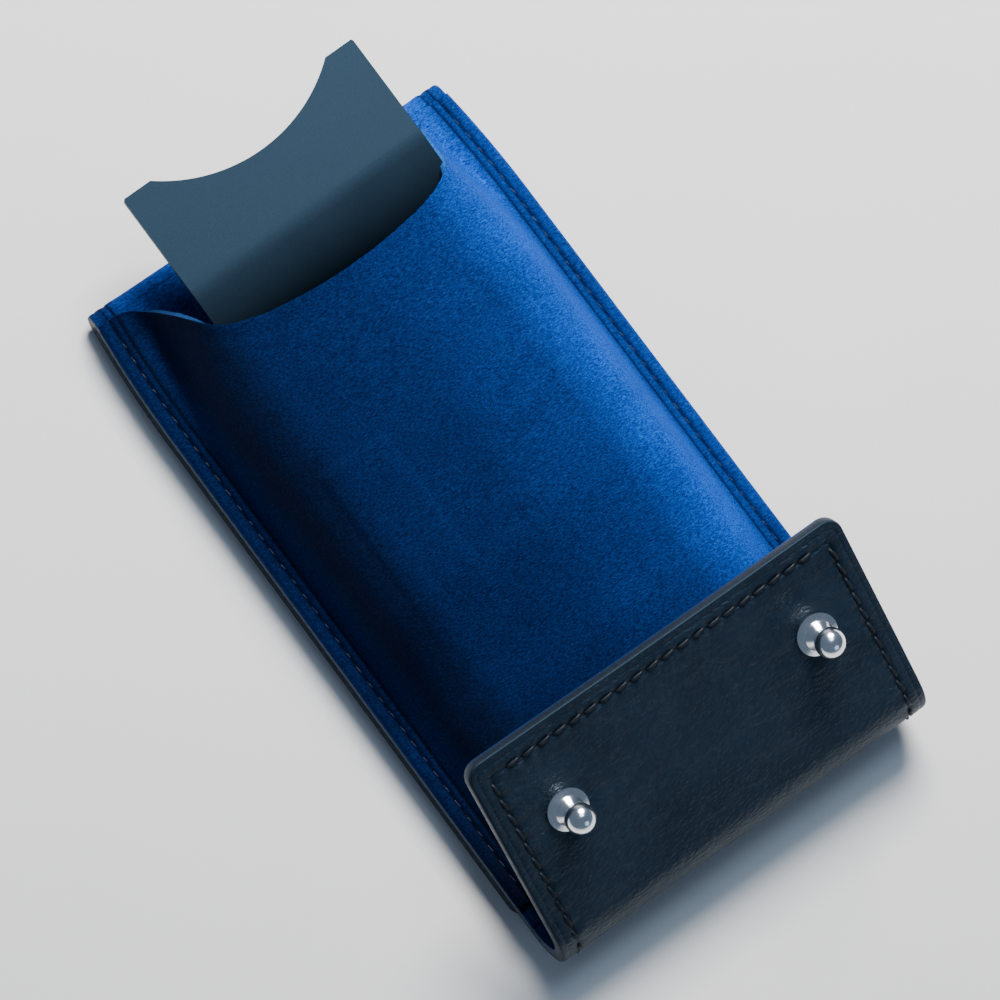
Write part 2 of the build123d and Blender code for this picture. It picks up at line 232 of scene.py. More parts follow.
def makeSuede(name, deep, middle, bright, fleck, lightAcross):
    # Napped suede: short laid-down fibres, hand-brushed patches and pale fibre tips; painted light brightens
    # it from left to right, and painted shade darkens it towards the bottom end by the flap and along the
    # sewn sides.
    made, tree, shader = startMaterial(name)
    where = place(tree)
    drawn = place(tree, scale=(1.0, 2.6, 1.6), turn=0.7)
    brushed = noise(tree, where, 0.013, detail=4, rough=0.6, warp=0.6)
    nap = noise(tree, drawn, 0.00062, detail=3, rough=0.65)
    fine = noise(tree, drawn, 0.00026, detail=2, rough=0.6)
    base = ramp(tree, nap, (0.30, deep), (0.52, middle), (0.74, bright))
    shade = ramp(tree, brushed, (0.25, 0.72), (0.5, 0.92), (0.78, 1.0))
    parts = addNode(tree, "ShaderNodeSeparateXYZ")
    tree.links.new(where, parts.inputs[0])
    across = sums(tree, "ADD", sums(tree, "MULTIPLY", parts.outputs["X"], 13.0), 0.5)
    along = sums(tree, "ADD", sums(tree, "MULTIPLY", parts.outputs["Y"], 10.0), 0.75)
    # painted light across the piece, from the given table: darker on the left, brightest on the right where
    # the key light falls
    sideLight = ramp(tree, across, *lightAcross)
    # painted shade: darker towards the bottom end, where the flap shades the pocket
    low = ramp(tree, along, (0.20, 0.30), (0.46, 1.0))
    tips = ramp(tree, fine, (0.60, 0.0), (0.76, 0.75))
    shaded = mixColour(tree, tips, mixColour(tree, 1.0, base, shade, "MULTIPLY"), fleck)
    shaded = mixColour(tree, 1.0, mixColour(tree, 1.0, shaded, sideLight, "MULTIPLY"), low, "MULTIPLY")
    # painted shade along the sewn sides, darkest in the two pressed channels
    flat = addNode(tree, "ShaderNodeSeparateXYZ")
    tree.links.new(place(tree, flat=True), flat.inputs[0])
    sideways = sums(tree, "MULTIPLY", sums(tree, "ABSOLUTE", flat.outputs["X"], 0.0), 25.0)
    sewn = ramp(
        tree, sideways, (0.80, 1.0), (0.832, 0.62), (0.844, 0.10), (0.854, 0.48), (0.870, 0.44),
        (0.880, 0.08), (0.891, 0.46), (0.925, 0.50), (0.937, 0.75),
    )
    tree.links.new(mixColour(tree, 1.0, shaded, sewn, "MULTIPLY"), shader.inputs["Base Color"])
    tree.links.new(ramp(tree, nap, (0.2, 0.98), (0.8, 0.84)), shader.inputs["Roughness"])
    shader.inputs["Specular IOR Level"].default_value = 0.06
    shader.inputs["Sheen Weight"].default_value = 0.05
    shader.inputs["Sheen Roughness"].default_value = 0.45
    shader.inputs["Sheen Tint"].default_value = (0.08, 0.30, 1.0, 1)
    bumps(tree, shader, (brushed, 0.00025, 0.5), (nap, 0.00022, 0.75), (fine, 0.00009, 0.6))
    return made


def makeLeather(name, deep, lit):
    # Smooth vegetable-tanned leather: pebble grain, pull-up wrinkles and uneven polish.
    made, tree, shader = startMaterial(name)
    where = place(tree, flat=True)
    drawn = place(tree, scale=(0.62, 1.25, 1), turn=0.35, flat=True)
    cloud = noise(tree, where, 0.014, detail=5, rough=0.6, warp=0.4)
    pebble = cells(tree, drawn, 0.00072)
    smallPebble = cells(tree, drawn, 0.00036)
    pulled = place(tree, scale=(0.5, 1.5, 1), turn=-0.3, flat=True)
    creases = noise(tree, pulled, 0.0034, detail=6, rough=0.68, warp=1.2)
    tone = ramp(tree, cloud, (0.28, deep), (0.72, lit))
    rubbed = (lit[0] * 1.8, lit[1] * 1.7, lit[2] * 1.6)
    worn = mixColour(tree, ramp(tree, pebble, (0.05, 0.22), (0.55, 0.0)), tone, rubbed)
    tree.links.new(worn, shader.inputs["Base Color"])
    tree.links.new(ramp(tree, cloud, (0.3, 0.40), (0.7, 0.52)), shader.inputs["Roughness"])
    shader.inputs["Specular IOR Level"].default_value = 0.34
    shader.inputs["Specular Tint"].default_value = (0.50, 0.76, 1.0, 1)
    shader.inputs["Coat Weight"].default_value = 0.03
    shader.inputs["Coat Roughness"].default_value = 0.28
    folds = ramp(tree, creases, (0.36, 0.0), (0.46, 0.8), (0.6, 1.0))
    dome = ramp(tree, pebble, (0.0, 1.0), (0.75, 0.0))
    smallDome = ramp(tree, smallPebble, (0.0, 1.0), (0.8, 0.0))
    bumps(tree, shader, (folds, 0.00018, 0.42), (dome, 0.00012, 0.70), (smallDome, 0.00007, 0.6))
    return made


def makeEdgePaint():
    # Burnished, painted edge of the strip, with the glue line between the two layers.
    made, tree, shader = startMaterial("burnishedEdge")
    across = addNode(tree, "ShaderNodeAttribute", attribute_name="throughStrip")
    streaks = noise(tree, place(tree, scale=(9, 1, 1), flat=True), 0.0022, detail=5, rough=0.7)
    bare = ramp(
        tree, across.outputs["Fac"],
        (0.20, (0.004, 0.025, 0.10)), (0.44, (0.006, 0.016, 0.04)), (0.5, (0.014, 0.009, 0.007)),
        (0.55, (0.006, 0.009, 0.016)), (0.9, (0.008, 0.014, 0.024)),
    )
    streaked = mixColour(tree, 0.5, bare, ramp(tree, streaks, (0.3, 0.35), (0.7, 1.0)), "MULTIPLY")
    tree.links.new(streaked, shader.inputs["Base Color"])
    tree.links.new(ramp(tree, streaks, (0.3, 0.38), (0.7, 0.58)), shader.inputs["Roughness"])
    shader.inputs["Specular IOR Level"].default_value = 0.26
    shader.inputs["Specular Tint"].default_value = (0.42, 0.72, 1.0, 1)
    bumps(tree, shader, (streaks, 0.00018, 0.5))
    return made


def makeThread(name, colour, lit):
    # Waxed, twisted thread.
    made, tree, shader = startMaterial(name)
    where = place(tree)
    fibre = noise(tree, where, 0.00022, detail=4, rough=0.7)
    wax = noise(tree, where, 0.002, detail=3)
    tree.links.new(ramp(tree, fibre, (0.3, colour), (0.75, lit)), shader.inputs["Base Color"])
    tree.links.new(ramp(tree, wax, (0.3, 0.36), (0.7, 0.62)), shader.inputs["Roughness"])
    shader.inputs["Specular IOR Level"].default_value = 0.22
    bumps(tree, shader, (fibre, 0.00006, 0.6))
    return made


def makeChrome():
    # Mirror-polished steel with faint turning marks and handling haze.
    made, tree, shader = startMaterial("polishedSteel")
    where = place(tree)
    haze = noise(tree, where, 0.0016, detail=5, rough=0.7)
    marks = noise(tree, place(tree, scale=(1, 1, 14)), 0.004, detail=4)
    shader.inputs["Metallic"].default_value = 1.0
    tone = ramp(tree, haze, (0.3, (0.84, 0.87, 0.90)), (0.7, (0.93, 0.94, 0.95)))
    tree.links.new(tone, shader.inputs["Base Color"])
    tree.links.new(ramp(tree, haze, (0.35, 0.13), (0.7, 0.24)), shader.inputs["Roughness"])
    bumps(tree, shader, (marks, 0.00001, 0.2))
    return made


def makePlateFinish():
    # Satin anthracite coating with an even fine speckle, and painted shade that darkens it and dims its
    # sheen towards the end inside the pocket.
    made, tree, shader = startMaterial("anthracitePlate")
    where = place(tree)
    speckle = noise(tree, where, 0.00018, detail=3, rough=0.7)
    cloud = noise(tree, where, 0.018, detail=4)
    tone = ramp(tree, speckle, (0.3, (0.004, 0.010, 0.018)), (0.7, (0.010, 0.022, 0.038)))
    parts = addNode(tree, "ShaderNodeSeparateXYZ")
    tree.links.new(where, parts.inputs[0])
    # painted shade: darker and less shiny towards the end that lies inside the pocket
    outward = sums(tree, "ADD", sums(tree, "MULTIPLY", parts.outputs["Y"], 30.0), -1.05)
    inPocketShade = ramp(tree, outward, (0.22, 0.10), (0.60, 1.0))
    cloudy = mixColour(tree, 0.6, tone, ramp(tree, cloud, (0.3, 0.7), (0.7, 1.0)), "MULTIPLY")
    tree.links.new(mixColour(tree, 1.0, cloudy, inPocketShade, "MULTIPLY"), shader.inputs["Base Color"])
    tree.links.new(sums(tree, "MULTIPLY", inPocketShade, 0.24), shader.inputs["Specular IOR Level"])
    tree.links.new(ramp(tree, cloud, (0.3, 0.44), (0.7, 0.52)), shader.inputs["Roughness"])
    shader.inputs["Specular Tint"].default_value = (0.40, 0.70, 1.0, 1)
    bumps(tree, shader, (speckle, 0.00002, 0.35))
    return made


def makeTurnedMetal(name, dark, lit, ringSize):
    # Machined metal with rings from turning along the tool's length.
    made, tree, shader = startMaterial(name)
    rings = noise(tree, place(tree, scale=(0.02, 1, 0.02)), ringSize, detail=5, rough=0.75)
    haze = noise(tree, place(tree), 0.003, detail=4)
    shader.inputs["Metallic"].default_value = 1.0
    tree.links.new(ramp(tree, haze, (0.3, dark), (0.7, lit)), shader.inputs["Base Color"])
    tree.links.new(ramp(tree, rings, (0.3, 0.22), (0.7, 0.42)), shader.inputs["Roughness"])
    bumps(tree, shader, (rings, 0.00004, 0.6))
    return made


# deep, middle and bright nap, then the pale fibre tips
suedeTones = ((0.0008, 0.014, 0.125), (0.0020, 0.056, 0.370), (0.010, 0.140, 0.640), (0.055, 0.290, 0.900))
cutTones = ((0.004, 0.05, 0.24), (0.014, 0.12, 0.44), (0.05, 0.24, 0.66), (0.18, 0.42, 0.90))
# painted light across the pocket from the left side to the right: painted shade on the left slope, brightest
# on the right ridge where the key light falls
pocketLightAcross = (
    (0.05, 0.24), (0.11, 0.06), (0.18, 0.05), (0.25, 0.12), (0.50, 0.165), (0.74, 0.34), (0.88, 1.0),
)
# painted light across the lining, lighter towards the right
liningLightAcross = ((0.02, 0.42), (0.20, 0.75), (0.50, 0.70), (0.90, 1.0))
suede = makeSuede("royalSuede", *suedeTones, pocketLightAcross)
liningSuede = makeSuede("liningSuede", *suedeTones, liningLightAcross)
# painted light across the cut edges, lighter towards the right
cutEdgeLightAcross = ((0.02, 0.24), (0.50, 0.34), (0.86, 0.9))
cutSuede = makeSuede("cutSuedeEdge", *cutTones, cutEdgeLightAcross)
leather = makeLeather("navyLeather", (0.0030, 0.0065, 0.0125), (0.0065, 0.0135, 0.0250))
edgePaint = makeEdgePaint()
blackThread = makeThread("waxedThread", (0.003, 0.004, 0.006), (0.012, 0.018, 0.028))
blueThread = makeThread("blueThread", (0.0005, 0.005, 0.026), (0.002, 0.016, 0.060))
print("materials made")


# the leather strip
stripShape = {
    "sideDraw": 1.2 * mm,  # how much each side draws in at the top fold
    "drawLength": 22.0 * mm,
    "cornerRadius": 3.0 * mm,
    "rim": 1.6 * mm,  # height of the strip's edge before it rounds over
    "rounding": 1.0 * mm,
    "groove": 1.35 * mm,  # pressed line near the edge
    "stitchLine": 3.4 * mm,
    "pitch": 3.1 * mm,
    "flapSlope": math.radians(38.9),
    "flapLength": 35.5 * mm,
    "studFromEdge": 16.3 * mm,
    "studX": 25.3 * mm,
    "stitchDip": 0.16 * mm,  # thread pulled into the surface, deeper at each hole
    "dipWidth": 0.42 * mm,
    "waviness": 0.16 * mm,
    "flapBulge": 0.35 * mm,
    "rowStep": 0.95 * mm,
    "rimPlaces": [0, 0.1, 0.25, 0.45, 0.7, 1.0, 1.2, 1.35, 1.5, 1.8, 2.2, 2.6],  # mm from the edge
}
middle = stripThick / 2
foldMiddle = foldZ - middle  # radius of the strip's mid line in the top fold
turnMiddle = (turnY - bottomY) - middle
turnAngle = math.pi - stripShape["flapSlope"]

# the strip's mid line as (length, how far it turns); it starts at the cover's free end
runs = [
    (foldY - coverY, 0.0),
    (math.pi * foldMiddle, math.pi),
    (foldY - turnY, 0.0),
    (turnMiddle * turnAngle, -turnAngle),
    (stripShape["flapLength"], 0.0),
]
runStarts = np.concatenate([[0], np.cumsum([length for length, turn in runs])])
stripLength = runStarts[-1]
foldStart, backStart, turnStart, flapStart = runStarts[1:5]


def stripPath(s):
    # Place along Y and Z, and heading, of the strip's mid line at each length s.
    y = np.zeros_like(s)
    z = np.zeros_like(s)
    heading = np.zeros_like(s)
    nowY, nowZ, nowHeading = coverY, middle, 0.0
    for number, (length, turn) in enumerate(runs):
        last = number == len(runs) - 1
        here = (s >= runStarts[number]) & ((s < runStarts[number + 1]) | last)
        if number == 0:
            here = here | (s < 0)
        along = s[here] - runStarts[number]
        if turn == 0.0:
            y[here] = nowY + along * math.cos(nowHeading)
            z[here] = nowZ + along * math.sin(nowHeading)
            heading[here] = nowHeading
            nowY += length * math.cos(nowHeading)
            nowZ += length * math.sin(nowHeading)
        else:
            radius = length / turn
            angle = nowHeading + along / radius
            y[here] = nowY + radius * (np.sin(angle) - math.sin(nowHeading))
            z[here] = nowZ - radius * (np.cos(angle) - math.cos(nowHeading))
            heading[here] = angle
            nowY += radius * (math.sin(nowHeading + turn) - math.sin(nowHeading))
            nowZ -= radius * (math.cos(nowHeading + turn) - math.cos(nowHeading))
            nowHeading += turn
    return y, z, heading


def rowsBetween(low, high, step):
    return np.linspace(low, high, max(2, int(round((high - low) / step)) + 1))


crossHalf = np.concatenate([
    np.array(stripShape["rimPlaces"] + [2.9, 3.15, 3.4, 3.65, 3.9, 4.3, 4.8, 5.4]) * mm,
    np.linspace(6.1 * mm, halfWidth, 34),
])
crossPlaces = np.concatenate([-halfWidth + crossHalf, (halfWidth - crossHalf[:-1])[::-1]])


def drawIn(s):
    # How far each side draws in at length s, which is only round the top fold.
    y = stripPath(s)[0]
    start = foldY - stripShape["drawLength"]
    t = np.clip((y - start) / stripShape["drawLength"], 0, 1)
    return stripShape["sideDraw"] * t * t


def roundCorner(x, fromEnd):
    # Bends the square corner into arcs, so that rows and columns follow the rounded outline.
    radius = stripShape["cornerRadius"]
    side = halfWidth - np.abs(x)
    level = np.minimum(side, fromEnd)
    inner = radius - level
    inCorner = (inner > 0) & (side < radius) & (fromEnd < radius)
    run = np.where(side <= fromEnd, (radius - fromEnd), (2 * inner - (radius - side)))
    share = np.clip(run / np.maximum(2 * inner, 1e-9), 0, 1)
    angle = share * math.pi / 2
    newSide = radius - inner * np.cos(angle)
    newEnd = radius - inner * np.sin(angle)
    sideOut = np.where(inCorner, newSide, side)
    endOut = np.where(inCorner, newEnd, fromEnd)
    return np.sign(x) * (halfWidth - sideOut), endOut, level


def studDents(x, s):
    # Leather pulled down round each stud, with short wrinkles running out from it.
    total = np.zeros_like(x)
    beyond = s - (stripLength - stripShape["studFromEdge"])
    for side in (-1, 1):
        beside = x - side * stripShape["studX"]
        away = np.hypot(beside, beyond)
        angle = np.arctan2(beyond, beside)
        total -= 0.16 * mm * dent(away - 3.9 * mm, 1.3 * mm)
        total += 0.10 * mm * dent(away - 6.4 * mm, 1.8 * mm) * (1 + 0.6 * np.sin(9 * angle + side))
    return total


def stripHeight(x, s, toEdge, leatherSide):
    # How far each side of the strip stands from its mid line.
    rim = stripShape["rim"] / 2
    t = np.clip(toEdge / stripShape["rounding"], 0, 1)
    height = rim + (middle - rim) * (1 - (1 - t) ** 3.0) ** (1 / 3.0)
    line = stripShape["stitchLine"]
    beat = 0.5 + 0.5 * np.cos(2 * math.pi * s / stripShape["pitch"])
    beatAcross = 0.5 + 0.5 * np.cos(2 * math.pi * x / stripShape["pitch"])
    endward = toEdge < halfWidth - np.abs(x) - 0.2 * mm
    beat = np.where(endward, beatAcross, beat)
    depth = 1.0 if leatherSide else 0.7
    height = height - 0.11 * mm * dent(toEdge - stripShape["groove"], 0.16 * mm)
    height = height + 0.05 * mm * dent(toEdge - 2.2 * mm, 0.7 * mm)
    dip = dent(toEdge - line, stripShape["dipWidth"])
    height = height - depth * stripShape["stitchDip"] * (1 + beat) * dip
    # the leather puckers inward of the stitches, between their holes
    inward = np.clip((toEdge - line) / (1 * mm), 0, None)
    swollen = (1 - beat) * inward * np.exp(-((inward / 1.1) ** 1.5)) * 0.34
    drawn = beat * np.exp(-((inward - 0.5) / 1.1) ** 2) * 0.08
    height = height + depth * mm * (swollen - drawn) * (toEdge > line)
    if leatherSide:
        height = height + studDents(x, s)
    return height


def flapBulge(x, s):
    # The flap arches a little along its free edge.
    lift = np.where(s > flapStart, (s - flapStart) / stripShape["flapLength"], 0)
    return stripShape["flapBulge"] * lift ** 2 * (1 - (x / halfWidth) ** 2)


def makeStrip(name, rows, freeEnd=None):
    # One stretch of the strip, from its first row to its last, bent along the path.
    piece = layGrid(name, len(crossPlaces), len(rows))
    selectOnly(piece)
    bpy.ops.object.mode_set(mode="EDIT")
    bpy.ops.mesh.select_all(action="SELECT")
    bpy.ops.mesh.extrude_region_move(TRANSFORM_OT_translate={"value": (0, 0, -0.5)})
    bpy.ops.object.mode_set(mode="OBJECT")
    column, row = gridPlaces(piece, len(crossPlaces), len(rows))
    onLeather = getPoints(piece)[:, 2] > -0.25
    x = crossPlaces[column]
    s = rows[row]
    toEdge = halfWidth - np.abs(x)
    if freeEnd == "low":
        x, s, toEdge = roundCorner(x, s)
    elif freeEnd == "high":
        x, fromEnd, toEdge = roundCorner(x, stripLength - s)
        s = stripLength - fromEnd
    y, z, heading = stripPath(s)
    height = np.where(onLeather, stripHeight(x, s, toEdge, True), -stripHeight(x, s, toEdge, False))
    through = 0.5 + height / (2 * middle) * 0.5
    loose = smoothStep((s - flapStart) / (8 * mm)) + smoothStep((foldStart - s) / (30 * mm)) * 0.4
    height = height + waves(x, s, 4, 38 * mm) * stripShape["waviness"] * loose + flapBulge(x, s)
    side = 1 - drawIn(s) / halfWidth
    points = np.stack([x * side, y - np.sin(heading) * height, z + np.cos(heading) * height], 1)
    points[:, 2] = np.maximum(points[:, 2], 0)
    setPoints(piece, points)
    giveMap(piece, x, s)
    giveValue(piece, "throughStrip", through)
    paintStrip(piece, onLeather, toEdge)
    closeNormals(piece)
    bpy.ops.object.shade_smooth()
    return piece


def paintStrip(piece, onLeather, toEdge):
    # Leather on one side, suede on the other, burnished paint round the rim.
    onTop, below, onRim = 0, 1, 2
    for finish in (leather, liningSuede, edgePaint):
        piece.data.materials.append(finish)
    picks = []
    for face in piece.data.polygons:
        corners = list(face.vertices)
        sides = onLeather[corners]
        near = toEdge[corners].mean()
        if sides.any() and not sides.all():
            picks.append(onRim)
        elif sides.all():
            picks.append(onRim if near < 0.5 * mm else onTop)
        else:
            picks.append(onRim if near < 0.2 * mm else below)
    piece.data.polygons.foreach_set("material_index", picks)


def closeNormals(piece):
    selectOnly(piece)
    bpy.ops.object.mode_set(mode="EDIT")
    bpy.ops.mesh.select_all(action="SELECT")
    bpy.ops.mesh.normals_make_consistent(inside=False)
    bpy.ops.object.mode_set(mode="OBJECT")


close = np.array(stripShape["rimPlaces"] + [3.0, 3.4, 3.8, 4.2, 4.7]) * mm
creaseAt = spineY - coverY  # length at which the cover meets the spine
panelEnd = creaseAt - 3.0 * mm
coverRows = np.concatenate([close, rowsBetween(5.5 * mm, panelEnd, stripShape["rowStep"])])
coverPanel = makeStrip("coverPanel", coverRows, "low")
creaseRows = rowsBetween(panelEnd, creaseAt + 3 * mm, 0.4 * mm)
spineRows = rowsBetween(creaseAt + 3.8 * mm, foldStart, 0.8 * mm)
coverSpine = makeStrip("coverSpine", np.concatenate([creaseRows, spineRows]))
foldHalf = foldStart + math.pi * foldMiddle / 2
foldLower = makeStrip("foldLower", rowsBetween(foldStart, foldHalf, 0.16 * mm))
foldUpper = makeStrip("foldUpper", rowsBetween(foldHalf, backStart, 0.16 * mm))
backPanel = makeStrip("backPanel", rowsBetween(backStart, turnStart, stripShape["rowStep"]))
bendRows = rowsBetween(turnStart, stripLength - 5.2 * mm, 0.38 * mm)
flapRows = np.concatenate([bendRows, stripLength - close[::-1]])
turnAndFlap = makeStrip("turnAndFlap", flapRows, "high")
print("strip made")

# slots near the cover's free end
slotShape = {"width": 6.0 * mm, "length": 9.0 * mm, "fromEnd": 7.0 * mm, "cutDepth": 12 * mm}


def cutSlot(side):
    # Cuts one slot, for the stud on that side.
    centre = coverY + slotShape["fromEnd"]
    bpy.ops.mesh.primitive_cylinder_add(
        vertices=40, radius=slotShape["width"] / 2, depth=slotShape["cutDepth"],
        location=(side * stripShape["studX"], centre, 0),
    )
    cutter = bpy.context.object
    bpy.ops.object.transform_apply(location=True, rotation=True, scale=True)
    points = getPoints(cutter)
    reach = slotShape["length"] / 2 - slotShape["width"] / 2
    points[:, 1] += np.where(points[:, 1] > centre, reach, -reach)
    setPoints(cutter, points)
    cut = coverPanel.modifiers.new("slot", "BOOLEAN")
    cut.operation = "DIFFERENCE"
    cut.object = cutter
    cut.solver = "EXACT"
    applyAll(coverPanel)
    bpy.data.objects.remove(cutter)


cutSlot(-1)
cutSlot(1)
selectOnly(coverPanel)
bpy.ops.object.shade_smooth_by_angle(angle=math.radians(50))
print("slots cut")

# moulded suede pocket
pocketShape = {
    "low": 12.0 * mm,
    "mouthX": 0.9 * mm,
    # the mouth: distance from its middle, and length from the bottom turn, in mm
    "mouthAcross": [-2, 6, 11, 16, 20.5, 23.5, 25.3, 26.8, 27.9, 29.0, 30.4, 32.4, 35.0, 40.0],
    "mouthAlong": [
        114.5, 114.7, 115.2, 116.0, 117.3, 118.8, 120.6, 123.4, 126.8, 130.0, 132.0, 133.0, 133.2, 133.2,
    ],
    "narrowing": 0.115,  # how much closer together the ridges come at the mouth
    "wall": 1.2 * mm,
    # its height along the pocket, and the share of that height across it
    "length": [12.4, 13.5, 24.0, 46.0, 60.0, 125.0, 140.0],
    "height": [7.2, 8.2, 14.0, 16.0, 19.8, 20.6, 20.7],
    "across": [0, 21.0, 25.2, 27.4, 29.0, 30.6, 32.0, 32.9, 33.6, 38.0],
    "share": [1.0, 0.995, 0.975, 0.91, 0.76, 0.50, 0.23, 0.07, 0.0, 0.0],
    "slowWave": 0.34 * mm,
    "quickWave": 0.10 * mm,
    # the loop and tool inside press a long soft step into the left of it
    "stepLeft": -24.6 * mm,
    "stepRight": -10.2 * mm,
    "stepEnd": 88.5 * mm,
    "stepRise": 0.55 * mm,
    "stepEdge": 1.6 * mm,
    # two pressed channels along each side, the outer one sewn
    "sewnLine": 2.3 * mm,
    "plainLine": 3.7 * mm,
    "edgeDrop": 0.55 * mm,
    "bevel": 0.28 * mm,
    "lip": 0.30 * mm,
    "raggedFine": 0.09 * mm,
    "raggedSlow": 0.16 * mm,
}


def softly(values, places, heights, width):
    # A drawn profile with its corners rounded off over the given width.
    steps = np.linspace(-width, width, 9)
    return sum(np.interp(values + step, places, heights) for step in steps) / len(steps)


def mouthLine(x):
    # Where the open edge runs: a flat-bottomed dip, up round the ridges, then out along the margins.
    centred = 1 - smoothStep((np.abs(x) - 24 * mm) / (8 * mm))
    away = np.abs(x - pocketShape["mouthX"] * centred)
    across = np.array(pocketShape["mouthAcross"]) * mm
    return softly(away, across, np.array(pocketShape["mouthAlong"]) * mm, 1.0 * mm)


def pocketTop(x, along):
    # Height of the pocket's outside.
    table = pocketShape
    top = softly(along, np.array(table["length"]) * mm, np.array(table["height"]) * mm, 2.4 * mm)
    narrow = 1 - table["narrowing"] * smoothStep((along - 100 * mm) / (32 * mm))
    share = softly(np.abs(x) / narrow, np.array(table["across"]) * mm, np.array(table["share"]), 0.7 * mm)
    margin = insideZ + table["wall"]
    height = margin + (top - margin) * share
    height += share * waves(x, along, 11, 46 * mm) * table["slowWave"]
    height += share * waves(x, along, 12, 17 * mm) * table["quickWave"]
    fromLeft = smoothStep((x - table["stepLeft"]) / table["stepEdge"])
    fromRight = smoothStep((table["stepRight"] - x) / table["stepEdge"])
    fromEnd = smoothStep((table["stepEnd"] - along) / table["stepEdge"])
    fromLow = smoothStep((along - 40 * mm) / (30 * mm))
    height += table["stepRise"] * fromLeft * fromRight * fromEnd * fromLow
    line = halfWidth - np.abs(x)
    flatPart = 1 - smoothStep(share / 0.05)
    beat = 0.5 + 0.5 * np.cos(2 * math.pi * along / stripShape["pitch"])
    height -= flatPart * dent(line - table["sewnLine"], 0.42 * mm) * (0.40 + 0.14 * beat) * mm
    height -= flatPart * dent(line - table["plainLine"], 0.34 * mm) * 0.32 * mm
    height -= table["edgeDrop"] * (1 - smoothStep(line / (0.9 * mm))) ** 2
    return height


def alongToStrip(along):
    # The strip's length at a place along the back, as far as drawing in goes.
    return np.interp(along + bottomY, [coverY, foldY], [0, foldStart])


def makePocket():
    # columns close together over the ridges and the sewn sides, rows close together at the mouth
    inner = np.linspace(0, 21 * mm, 40)
    outer = np.concatenate([np.arange(21.4, 34.4, 0.34), np.arange(34.6, 37.5, 0.2), [37.5]]) * mm
    halfPlaces = np.concatenate([inner, outer])
    places = np.concatenate([-halfPlaces[::-1], halfPlaces[1:]])
    share = np.concatenate([np.linspace(0, 0.97, 170), 0.97 + np.linspace(0.002, 0.03, 14)])
    piece = layGrid("pocketSuede", len(places), len(share))
    column, row = gridPlaces(piece, len(places), len(share))
    x = places[column]
    mouth = mouthLine(x)
    along = pocketShape["low"] + (mouth - pocketShape["low"]) * share[row]
    ragged = waves(x, along, 21, 1.3 * mm) * pocketShape["raggedFine"]
    ragged = ragged + waves(x, along, 22, 9 * mm) * pocketShape["raggedSlow"]
    along = along + ragged * smoothStep((share[row] - 0.985) / 0.015)
    z = pocketTop(x, along)
    atMouth = smoothStep((share[row] - 0.97) / 0.03) * (np.abs(x) < 27 * mm)
    z = z + pocketShape["lip"] * atMouth
    side = 1 - drawIn(alongToStrip(along)) / halfWidth
    setPoints(piece, np.stack([x * side, bottomY + along, z], 1))
    giveMap(piece, x, along)
    for finish in (suede, liningSuede, cutSuede):
        piece.data.materials.append(finish)
    wall = piece.modifiers.new("wall", "SOLIDIFY")
    wall.thickness = pocketShape["wall"]
    wall.offset = -1
    wall.use_even_offset = True
    wall.material_offset = 1
    wall.material_offset_rim = 2
    soft = piece.modifiers.new("rim", "BEVEL")
    soft.width = pocketShape["bevel"]
    soft.segments = 2
    soft.limit_method = "ANGLE"
    soft.angle_limit = math.radians(55)
    soft.material = 2
    applyAll(piece)
    points = getPoints(piece)
    points[:, 2] = np.maximum(points[:, 2], insideZ)
    setPoints(piece, points)
    bpy.ops.object.shade_smooth()
    return piece


pocketSuede = makePocket()
print("pocket made")

loopShape = {"border": 2.6 * mm, "wall": 1.2 * mm, "sag": 0.12 * mm, "columns": 56, "rows": 40}


def makeLoop():
    # The suede loop that holds the tool inside the pocket.
    low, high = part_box("tool_loop")
    centre = (low.x + high.x) / 2
    border = loopShape["border"]
    wall = loopShape["wall"]
    wide = (high.x - low.x) / 2 - border - wall / 2
    tall = high.z - insideZ - wall / 2
    rightHalf = [
        (wide * 0.3, tall), (wide * 0.72, tall * 0.92), (wide, tall * 0.62), (wide, 1.2 * mm),
        (wide + 0.8 * mm, 0.1 * mm), (wide + border, 0),
    ]
    outline = [(-across, up) for across, up in rightHalf[::-1]] + rightHalf
    steps = [math.dist(a, b) for a, b in zip(outline, outline[1:])]
    lengths = np.concatenate([[0], np.cumsum(steps)])
    walk = np.linspace(0, lengths[-1], loopShape["columns"])
    acrossX = softly(walk, lengths, np.array([p[0] for p in outline]), 0.7 * mm)
    acrossZ = softly(walk, lengths, np.array([p[1] for p in outline]), 0.7 * mm)
    piece = layGrid("toolLoopSuede", loopShape["columns"], loopShape["rows"])
    column, row = gridPlaces(piece, loopShape["columns"], loopShape["rows"])
    y = low.y + (high.y - low.y) * row / (loopShape["rows"] - 1)
    sag = waves(walk[column], y, 31, 14 * mm) * loopShape["sag"] * (acrossZ[column] > 1 * mm)
    z = insideZ + wall / 2 + acrossZ[column] - np.abs(sag)
    setPoints(piece, np.stack([centre + acrossX[column], y, z], 1))
    giveMap(piece, walk[column], y)
    for finish in (liningSuede, cutSuede):
        piece.data.materials.append(finish)
    thick = piece.modifiers.new("wall", "SOLIDIFY")
    thick.thickness = wall
    thick.offset = 0
    thick.material_offset_rim = 1
    applyAll(piece)
    closeNormals(piece)
    bpy.ops.object.shade_smooth_by_angle(angle=math.radians(50))
    return piece


toolLoopSuede = makeLoop()

# stitching
threadShape = {
    "length": 2.85 * mm,
    "thick": 0.34 * mm,
    "sides": 8,
    "rings": 7,
    "lean": math.radians(9),
    "dive": 0.52 * mm,  # how far a stitch's ends go down into their holes
    "proud": 0.17 * mm,  # on the leather
    "sunk": 0.18 * mm,  # in the suede
    "pocketSunk": 0.24 * mm,
}


